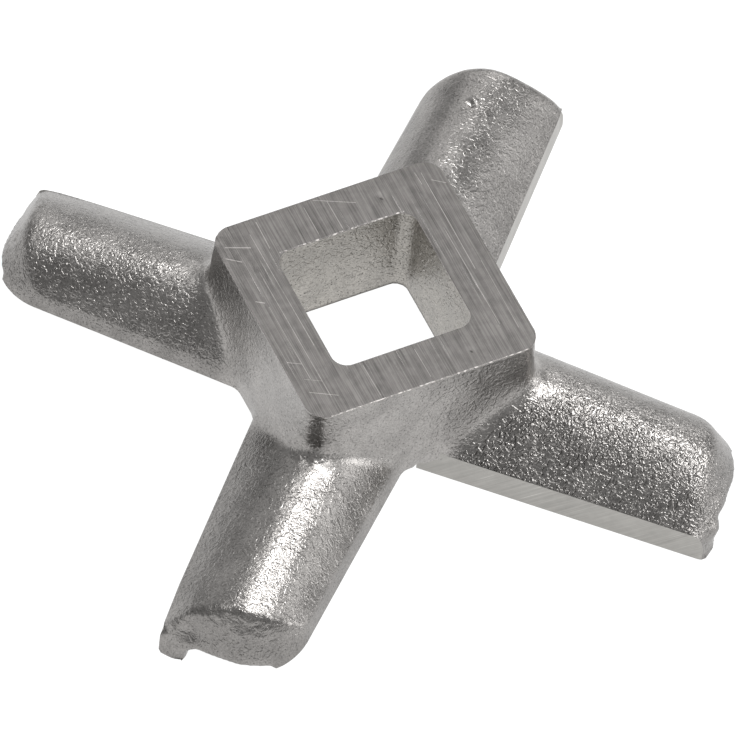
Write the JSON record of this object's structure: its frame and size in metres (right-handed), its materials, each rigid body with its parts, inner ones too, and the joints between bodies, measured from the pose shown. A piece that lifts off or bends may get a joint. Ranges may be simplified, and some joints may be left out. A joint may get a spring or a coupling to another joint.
{
  "type": "meat grinder knife",
  "caption": "Cast cross-shaped grinder knife: arms with convex backs, ground cutting flanks and raised lands leave the corners of a tall square hub with a square drive hole.",
  "frame": {"origin": "on the drive axis, in the cutting plane that the lands share", "axes": "+Z along the drive axis, from the cutting plane towards the hub's top; X and Y square to the hub's sides"},
  "size_m": [0.0398, 0.0398, 0.0095],
  "materials": {
    "cast_steel": "pebbled casting, ground on the hub's top, the cutting flanks and the lands"
  },
  "bodies": {
    "root": {"cross_knife": "cast_steel"}
  },
  "joints": []
}
